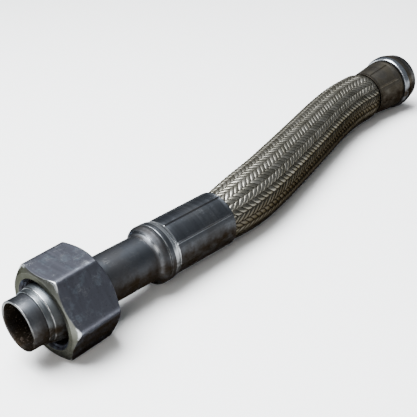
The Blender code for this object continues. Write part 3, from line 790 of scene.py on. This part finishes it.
def braid_bands(name, way, chosen):
    """Wire bands that run one way round the hose. A band is a helix of the braid angle: its angle grows
    with the length along the hose. Its cross-section lies square to it, and it rides at the height of
    band_height, over where the other way is under. Its tone is a fixed scatter of 0 to 1 by the band."""
    lane = math.tau / BANDS
    turn_rate = math.tan(BRAID_ANGLE) / HOSE_R
    start = NEAR_HOLD - MOUTH_LENGTH
    end = LINE_LENGTH[-1] - FAR_HOLD + MOUTH_LENGTH
    steps = int(round((end - start) * turn_rate / lane * STEPS_A_FLOAT)) + 1
    length = np.linspace(start, end, steps)[:, None]
    across, height, groove = band_section()
    offset = BAND_FILL * lane * HOSE_R * math.cos(BRAID_ANGLE) / 2 * across[None]
    quads = strip_quads(steps, len(across))
    if way > 0:
        quads = quads[:, ::-1]
    here = np.clip(length - offset * math.sin(BRAID_ANGLE), start - 2 * MM, end + 2 * MM)
    turn = way * (turn_rate * (length - LINE_LENGTH[-1] / 2) + offset * math.cos(BRAID_ANGLE) / HOSE_R)
    middle, side, up = along_hose(here)
    parts = []
    for band in chosen:
        angle = turn + band * lane
        wave = band_height(angle, lane) * way
        radius = hose_radius(here) - BAND_THICK / 2 - BAND_LIFT * (1 - wave) + height[None]
        ring = side * np.cos(angle)[..., None] + up * np.sin(angle)[..., None]
        tone = (math.sin(12.9898 * (band + 31 * (way + 1))) * 43758.5453) % 1.0
        own = np.stack([here, angle * HOSE_R, np.full_like(here, band * 7 * MM)], -1) / MM
        parts.append({
            "co": (middle + ring * radius[..., None]).reshape(-1, 3),
            "tone": np.full(wave.size, tone),
            "groove": (groove[None] + 0 * wave).ravel(),
            # Painted shade: depth darkens where a band dives under the next, and the last share darkens
            # the braid towards its underside
            "depth": (1 - wave).ravel() / 2,
            "dirt": underside(ring[..., 2] - BRAID_SHADE).ravel(),
            "own": own.reshape(-1, 3),
        })
    merged = {key: np.concatenate([part[key] for part in parts]) for key in parts[0]}
    points = merged.pop("co")
    quads = np.concatenate([quads + k * steps * len(across) for k in range(len(chosen))])
    return mesh_object(name, points, quads, WIRE, merged, 75.0)


core, core_path = hose_core()
bands = [
    braid_bands("braid_right_a", 1, range(0, BANDS // 2)),
    braid_bands("braid_right_b", 1, range(BANDS // 2, BANDS)),
    braid_bands("braid_left_a", -1, range(0, BANDS // 2)),
    braid_bands("braid_left_b", -1, range(BANDS // 2, BANDS)),
]
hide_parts("liner_hose")
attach(core, "hose")
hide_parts("braid")
for piece in bands:
    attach(piece, "hose")


# Near fitting


def barbs(start, end, count):
    """Corners of a hose tail: each barb holds the tail's radius and then tapers to its foot."""
    pitch = (end - start) / count
    corners = []
    for foot in start + np.arange(count) * pitch:
        corners.append((foot + 0.1 * pitch, TAIL_R, 0.2 * MM))
        corners.append((foot + 0.95 * pitch, TAIL_R - BARB_DEPTH, 0.1 * MM))
    return corners


def shoulder():
    """Corners of the collar's front: the radius follows 3t^2 - 2t^3 from the tube's to the collar's. A
    bell-shaped painted highlight runs round it before the middle, with painted shade on both sides."""
    corners = []
    for t in np.linspace(0.0, 1.0, 13)[1:]:
        station = COLLAR_START + t * COLLAR_SHOULDER
        radius = TUBE_R + (COLLAR_R - TUBE_R) * (3 * t**2 - 2 * t**3)
        stripe = math.exp(-(((t - 0.42) / 0.16) ** 2))
        corners.append((station, radius, 0.2 * MM, 0.0, stripe, 0.5 * (1 - stripe)))
    return corners


def near_tube():
    """Tube, rounded collar, neck and barbed tail, as one outline from the lip and back up the bore."""
    back = COLLAR_START + COLLAR_LENGTH
    neck_end = back + NECK_LENGTH
    tail_end = MOUTH - MOUTH_LENGTH
    outline = [
        (0.0, TUBE_R - 0.9 * MM, 0.5 * MM, 0.6, 0.7),
        (0.0, TUBE_R - 0.05 * MM, 0.7 * MM, 0.5, 0.7),
        (4 * MM, TUBE_R, 0.2 * MM, 0.0, 0.35),
        (7 * MM, TUBE_R, 0.2 * MM),
        (COLLAR_START - 0.6 * MM, TUBE_R, 0.3 * MM),
        *shoulder(),
        (back - 0.2 * MM, COLLAR_R, 0.25 * MM, 0.7, 0.5),
        (back, COLLAR_R - 0.5 * MM, 0.25 * MM, 0.9, 0.5),
        # Painted shade on the neck, under the ferrule
        (back, TAIL_R, 0.1 * MM, 0.0, 0.0, 1.0),
        (neck_end, TAIL_R, 0.1 * MM, 0.0, 0.0, 1.0),
        *barbs(neck_end, tail_end, 7),
        (tail_end, TAIL_R - 0.6 * MM, 0.3 * MM),
        (tail_end, TAIL_BORE_R, 0.3 * MM),
        (COLLAR_START + BORE_CONE, TAIL_BORE_R, 1.0 * MM),
        # Painted shade in the bore
        (COLLAR_START, TUBE_BORE_R, 1.0 * MM, 0.0, 0.0, 1.0),
        (3.0 * MM, TUBE_BORE_R, 0.3 * MM, 0.0, 0.0, 1.0),
        (1.0 * MM, TUBE_BORE_R, 0.5 * MM, 0.0, 0.1, 0.95),
        (0.0, TUBE_BORE_R + 0.55 * MM, 0.5 * MM, 0.8, 0.8),
    ]
    return turned("visual_standpipe", NEAR_AXIS, outline, STEEL_TUBE)


def near_ring():
    """Cutting ring: nose, step, long cone and bevelled back."""
    inner = TUBE_R + 0.15 * MM
    nose = RING_START + RING_NOSE
    cone_r = RING_NOSE_R + RING_STEP
    cone_end = nose + RING_STEP / 2 + RING_CONE
    back_r = cone_r + RING_CONE * math.tan(RING_CONE_ANGLE)
    outline = [
        (RING_START, inner, 0.1 * MM),
        (RING_START, RING_NOSE_R - 0.1 * MM, 0.45 * MM, 0.4, 0.8),
        (nose - 1.2 * MM, RING_NOSE_R, 0.2 * MM, 0.0, 0.2),
        (nose, RING_NOSE_R, 0.2 * MM),
        (nose + RING_STEP / 2, cone_r, 0.35 * MM, 0.6, 0.5),
        (nose + RING_STEP / 2 + 1.5 * MM, cone_r + 0.32 * MM, 0.3 * MM),
        (cone_end, back_r, 0.8 * MM),
        (cone_end + RING_BACK, back_r - RING_BACK, 0.4 * MM),
        (cone_end + RING_BACK, inner, 0.1 * MM),
    ]
    return turned("visual_cutting_ring", NEAR_AXIS, outline, STEEL_RING)


def hexagon(angle):
    """Radius of a hexagon with slightly rounded corners: half its width over the high-power sum of the
    cosines to its six flats."""
    flats = np.arange(6) * math.pi / 3 + math.pi / 2
    cosines = np.clip(np.cos(angle[..., None] - flats), 0.0, 1.0)
    return NUT_HALF_FLATS / (cosines**NUT_SHARPNESS).sum(-1) ** (1 / NUT_SHARPNESS)


def least(values, softness):
    """Smooth least of several arrays, less than the true one by about the softness where they meet."""
    values = np.stack(np.broadcast_arrays(*values))
    low = values.min(0)
    return low - softness * np.log(np.exp(-(values - low) / softness).sum(0))


def union_nut():
    """Union nut: its outside is the least of the hexagon and the two chamfer cones at each station and
    angle. Its bore holds a helical thread: a triangle wave of depth / pitch less the turn, with its
    tips cut flat."""
    angle = (np.arange(NUT_TURN) * math.tau / NUT_TURN)[None]
    fine = np.linspace(0.0, 1.0, 26) ** 1.6 * CHAMFER_REACH
    plain = np.linspace(CHAMFER_REACH, NUT_LENGTH - CHAMFER_REACH, 18)[1:-1]
    side = np.concatenate([fine[1:], plain, NUT_LENGTH - fine[::-1][:-1]])[:, None]
    slope = 1 / math.tan(NUT_CHAMFER)
    front_cone = NUT_FACE_R + side * slope
    back_cone = NUT_BACK_R + (NUT_LENGTH - side) * slope
    outside = least([hexagon(angle), front_cone, back_cone], NUT_BLEND)
    front_ring = np.linspace(THREAD_MOUTH_R, NUT_FACE_R - 0.1 * MM, 7)[:, None]
    back_ring = np.linspace(NUT_BACK_R - 0.1 * MM, NUT_BACK_BORE_R + 0.3 * MM, 7)[:, None]
    cone_end = THREAD_DEPTH + THREAD_CREST_R - NUT_BACK_BORE_R
    bore = np.linspace(NUT_LENGTH - 0.3 * MM, cone_end, 6)[:, None]
    cone = np.linspace(cone_end, THREAD_DEPTH, 6)[1:, None]
    depth = np.linspace(THREAD_DEPTH, 0.15 * MM, 92)[1:, None]
    phase = (depth / THREAD_PITCH - angle / math.tau) % 1.0
    tooth = np.clip(np.abs(phase - 0.5) * 2 * 1.25 - 0.12, 0.0, 1.0)
    fade = np.clip((THREAD_DEPTH - depth) / (1.5 * MM), 0.0, 1.0)
    thread = THREAD_CREST_R + (THREAD_ROOT_R - THREAD_CREST_R) * tooth * fade
    stretches = [
        (0.0, front_ring, 0.4 * (front_ring > NUT_FACE_R - FACE_RIM)),
        (side, outside, corner_wear_and_highlight(angle, side)),
        (NUT_LENGTH, back_ring, 0.0),
        (bore, NUT_BACK_BORE_R, 0.0),
        (cone, NUT_BACK_BORE_R + cone_end - cone, 0.0),
        (depth, np.maximum(thread, THREAD_MOUTH_R - depth), 0.0),
    ]
    spread = [np.broadcast_arrays(*stretch, 0 * angle) for stretch in stretches]
    station, radius, rubbed = (np.concatenate([grid[k] for grid in spread]) for k in range(3))
    inside = np.arange(len(station))[:, None] >= sum(len(grid[0]) for grid in spread[:3])
    world, own = swept(NUT_AXIS, station, radius, angle)
    bare_and_highlight = front_share(station, angle)
    # Painted shade: the nut's lower faces are darker, less so on its front face and chamfer
    lower = np.clip((0.02 - np.sin(angle)) / 0.22, 0.0, 1.0) * UNDERSIDE_SHADE * (1 - 0.6 * bare_and_highlight)
    attributes = {
        "own": own.reshape(-1, 3),
        "edge": rubbed.ravel(),
        "bare_and_highlight": (bare_and_highlight * ~inside).ravel(),
        # Inside, painted shade deepens from the mouth into the bore; outside, the painted shade of the
        # lower faces
        "dirt": np.where(inside, np.clip(station / (6 * MM), 0.35, 0.9), lower).ravel(),
    }
    return grid_object("visual_union_nut", world, STEEL_NUT, attributes, sharp=50.0)


def front_share(station, angle):
    """1 on the nut's front face and its chamfer, 0 on its flats."""
    gap = NUT_FACE_R + station / math.tan(NUT_CHAMFER) - hexagon(angle)
    return np.clip(0.5 - gap / (0.6 * MM), 0.0, 1.0)


def corner_wear_and_highlight(angle, station):
    """Rubbed wear that is also a painted highlight: highest where the nut's six edges meet its front
    chamfer, less along the edges and at the back chamfer, and 0 in the middle of its flats."""
    off = np.abs((angle + math.pi / 6) % (math.pi / 3) - math.pi / 6)
    corner = np.clip(1 - off / math.radians(3.2), 0.0, 1.0)
    slope = 1 / math.tan(NUT_CHAMFER)
    gap_front = NUT_FACE_R + station * slope - hexagon(angle)
    gap_back = NUT_BACK_R + (NUT_LENGTH - station) * slope - hexagon(angle)
    near = np.clip(1 - off / math.radians(11.0), 0.0, 1.0)
    front = np.clip(1.3 - np.abs(gap_front) / (1.7 * MM), 0.0, 1.0) * (0.30 + 0.70 * near)
    back = np.clip(1 - np.abs(gap_back) / (0.9 * MM), 0.0, 1.0)
    return np.maximum(corner * 0.34, np.maximum(front, back * 0.3))


def crimp_fins(angle):
    """Height share of the fins left between the dies: a narrow bell at each of the dies' joints."""
    off = np.abs((angle - CRIMP_TURN + DIE / 2) % DIE - DIE / 2)
    return np.exp(-((off * CRIMP_R / FIN_WIDTH) ** 2))


def ferrule(name, axis, corners, crimp_from, crimp_to, finish):
    """A crimped sleeve: a turned outline whose outside, between two stations, carries the fins between
    the dies and is a touch flatter in the middle of each die's face. It is darker along the fins."""
    profile = rounded(corners)
    angle = (np.arange(FERRULE_TURN) * math.tau / FERRULE_TURN)[None]
    station, radius = profile[:, :1], profile[:, 1:]
    outer = radius > CRIMP_R - 0.6 * MM
    fade_in = np.clip((station - crimp_from) / FIN_FADE, 0.0, 1.0)
    fade_out = np.clip((crimp_to - station) / FIN_FADE, 0.0, 1.0)
    crimped = outer * fade_in * fade_out
    fins = crimp_fins(angle)
    flat = np.maximum(DIE_FLAT * np.cos(DIES * (angle - CRIMP_TURN - DIE / 2)), 0.0)
    world, own = swept(axis, station, radius + crimped * (fins * FIN_HEIGHT - flat), angle)
    attributes = wear_attributes(corners, own, angle)
    attributes["dirt"] = np.maximum(attributes["dirt"], (crimped * fins * 0.7).ravel())
    return grid_object(name, world, finish, attributes)


def near_ferrule():
    """Sleeve from its end wall behind the collar to its slightly flared mouth. Its crimped radius grows
    evenly with the station."""
    wall = NEAR_WALL
    crimp = wall + FERRULE_LIP + CRIMP_SLOPE
    hole = TAIL_R + 0.1 * MM
    middle = np.linspace(crimp + 3 * MM, MOUTH - MOUTH_LENGTH, 12)
    swell = CRIMP_R + (middle - crimp) / (MOUTH - crimp) * NEAR_SWELL_OUT
    outline = [
        (wall, hole, 0.1 * MM),
        (wall, FERRULE_R, 0.6 * MM, 0.6),
        (wall + FERRULE_LIP * 0.45, FERRULE_R, 0.8 * MM),
        # Painted highlight: a bright band from the lip to the start of the crimp
        (wall + FERRULE_LIP * 0.65, FERRULE_R - 0.1 * MM, 0.5 * MM, 0.0, 0.9),
        (wall + FERRULE_LIP, FERRULE_R - 0.25 * MM, 0.8 * MM, 0.3, 1.0),
        (crimp, CRIMP_R - 0.1 * MM, 0.9 * MM, 0.0, 1.0),
        (crimp + 1.6 * MM, CRIMP_R - 0.1 * MM, 0.4 * MM),
        *[(float(s), float(r), 1 * MM) for s, r in zip(middle, swell)],
        (MOUTH, MOUTH_R, 0.35 * MM),
        (MOUTH, MOUTH_R - MOUTH_WALL, 0.3 * MM),
        (MOUTH - MOUTH_LENGTH, CRIMP_R - CRIMP_WALL, 0.3 * MM),
        (wall + FERRULE_WALL, CRIMP_R - CRIMP_WALL, 0.3 * MM),
        (wall + FERRULE_WALL, hole, 0.1 * MM),
    ]
    return ferrule("visual_near_ferrule", NEAR_AXIS, outline, crimp, MOUTH - 1.0 * MM, STEEL_CRIMP)


def far_ferrule():
    """Sleeve from its mouth to its end wall. Its radius grows evenly with the station up to a lip."""
    wall = FAR_FERRULE_LENGTH
    hole = TAIL_R + 0.1 * MM
    lip = wall - FAR_LIP
    crimp_end = lip - CRIMP_SLOPE
    middle = np.linspace(MOUTH_LENGTH, crimp_end, 8)
    start_r = CRIMP_R + 0.3 * MM
    share = (middle - MOUTH_LENGTH) / (crimp_end - MOUTH_LENGTH)
    radius = start_r + (FAR_CRIMP_END_R - start_r) * share
    outline = [
        # Painted shade on the end wall, which faces the flange head
        (wall, hole, 0.1 * MM, 0.0, 0.0, 1.0),
        (wall, FAR_FERRULE_R - 0.3 * MM, 0.5 * MM, 0.0, 0.0, 0.6),
        (lip, FAR_FERRULE_R - 0.2 * MM, 0.6 * MM),
        *[(float(s), float(r), 0.8 * MM) for s, r in zip(middle[::-1], radius[::-1])],
        # Painted shade at the mouth, where the hose goes in
        (0.0, MOUTH_R, 0.35 * MM, 0.0, 0.0, 0.8),
        (0.0, MOUTH_R - MOUTH_WALL, 0.3 * MM, 0.0, 0.0, 1.0),
        (MOUTH_LENGTH, CRIMP_R - CRIMP_WALL, 0.3 * MM),
        (wall - FERRULE_WALL, CRIMP_R - CRIMP_WALL, 0.3 * MM),
        (wall - FERRULE_WALL, hole, 0.1 * MM),
    ]
    return ferrule("visual_far_ferrule", FAR_AXIS, outline, 1.0 * MM, crimp_end, STEEL_FAR)


def flange_head():
    """Flange head with its neck, seal groove, bore and barbed tail. The back edge of its rim is a
    quarter ellipse: the radius follows the sine of a turn and the station its cosine."""
    back = FAR_FERRULE_LENGTH + SEAT_GAP
    groove_in = SEAL_RING_R - SEAL_SECTION_R - SEAT_GAP
    groove_out = SEAL_RING_R + SEAL_SECTION_R + SEAT_GAP
    floor = FLANGE_FACE - SEAL_GROOVE_DEPTH
    outline = [
        (FLANGE_FACE, TAIL_BORE_R + 0.6 * MM, 0.2 * MM),
        (FLANGE_FACE, groove_in, 0.15 * MM),
        (floor, groove_in, 0.3 * MM),
        (floor, groove_out, 0.3 * MM),
        (FLANGE_FACE, groove_out, 0.15 * MM),
        (FLANGE_FACE, FLANGE_FACE_R, 0.9 * MM, 0.5, 0.4),
        # Painted highlight along the taper, and painted shade where it meets the rim's back
        (FLANGE_FACE - 0.5 * FLANGE_TAPER, (FLANGE_R + FLANGE_FACE_R) / 2, 1.0 * MM, 0.0, 0.3),
        (FLANGE_FACE - FLANGE_TAPER, FLANGE_R, 3.0 * MM, 0.0, 0.1, 0.1),
        (FLANGE_BACK + FLANGE_SHOULDER + 1.2 * MM, FLANGE_R, 0.5 * MM, 0.0, 0.0, 0.3),
    ]
    # Painted highlight round the back edge
    for turn in np.linspace(math.pi / 2, 0.0, 7):
        rise = (FLANGE_R - FLANGE_BACK_R) * math.sin(turn)
        station = FLANGE_BACK + FLANGE_SHOULDER * (1 - math.cos(turn))
        outline.append((station, FLANGE_BACK_R + rise, 0.2 * MM, 0.0, 1.0))
    outline += [
        # The painted highlight fades on the back face; painted shade on the neck between the head and
        # the ferrule
        (FLANGE_BACK, FLANGE_BACK_R - 0.6 * MM, 0.2 * MM, 0.0, 0.5),
        (FLANGE_BACK, FLANGE_NECK_R, 0.2 * MM, 0.0, 0.0, 1.0),
        (back, FLANGE_NECK_R, 0.2 * MM, 0.0, 0.0, 1.0),
        (back, TAIL_R, 0.1 * MM),
        *barbs(FAR_FERRULE_LENGTH - FERRULE_WALL - SEAT_GAP, MOUTH_LENGTH, 3),
        (MOUTH_LENGTH, TAIL_R - 0.6 * MM, 0.2 * MM),
        (MOUTH_LENGTH, TAIL_BORE_R, 0.2 * MM),
        (FLANGE_FACE - 0.6 * MM, TAIL_BORE_R, 0.2 * MM),
    ]
    return turned("visual_flange_stem", FAR_AXIS, outline, STEEL_FLANGE)


def flange_seal():
    """O-ring: a circle of the section's radius carried round the groove's middle circle."""
    middle = FLANGE_FACE - SEAL_GROOVE_DEPTH + SEAT_GAP + SEAL_SECTION_R
    around = (np.arange(24) * math.tau / 24)[:, None]
    angle = (np.arange(TURN) * math.tau / TURN)[None]
    station = middle + SEAL_SECTION_R * np.sin(around)
    radius = SEAL_RING_R + SEAL_SECTION_R * np.cos(around)
    world, _ = swept(FAR_AXIS, station, radius, angle)
    return grid_object("visual_flange_o_ring", world, SEAL_RUBBER)


for piece, node, slot, body in (
    (near_tube(), "standpipe", "zinc_plate", "hose"),
    (near_ring(), "cutting_ring", "zinc_plate", "hose"),
    (union_nut(), "union_nut", "zinc_plate", "nut"),
    (near_ferrule(), "near_ferrule", "crimped_steel", "hose"),
    (far_ferrule(), "far_ferrule", "crimped_steel", "hose"),
    (flange_head(), "flange_stem", "bright_steel", "hose"),
    (flange_seal(), "flange_o_ring", "black_rubber", "hose"),
):
    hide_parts(node)
    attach(piece, body)


# Floor and light


def area_light(name, place, size, power, colour):
    """A square soft light that faces the object's middle."""
    data = bpy.data.lights.new(name, "AREA")
    data.shape, data.size, data.energy, data.color = "SQUARE", size, power, colour
    light = bpy.data.objects.new(name, data)
    light.location = place
    light.rotation_euler = (-Vector(place)).to_track_quat("-Z", "Y").to_euler()
    bpy.context.scene.collection.objects.link(light)


def set_stage():
    """A plain pale floor, a hair under the object."""
    mesh = bpy.data.meshes.new("floor")
    half, drop = 3.0, -0.2 * MM
    corners = [(-half, -half, drop), (half, -half, drop), (half, half, drop), (-half, half, drop)]
    mesh.from_pydata(corners, [], [(0, 1, 2, 3)])
    mesh.materials.append(plain_material("floor_paint", (0.86, 0.86, 0.855), 0.7))
    floor = bpy.data.objects.new("floor", mesh)
    bpy.context.scene.collection.objects.link(floor)


def set_world():
    """An even surround, darker than the floor."""
    world = bpy.data.worlds.new("studio")
    bpy.context.scene.world = world
    world.use_nodes = True
    background = world.node_tree.nodes["Background"]
    background.inputs["Color"].default_value = (0.88, 0.93, 1.0, 1.0)
    background.inputs["Strength"].default_value = 0.28


set_stage()
set_world()
area_light("overhead", place=(-0.30, 0.24, 1.3), size=1.1, power=118.0, colour=(0.96, 0.98, 1.0))
area_light("fill", place=(-0.9, -0.6, 0.7), size=0.5, power=5.0, colour=(1.0, 0.96, 0.90))
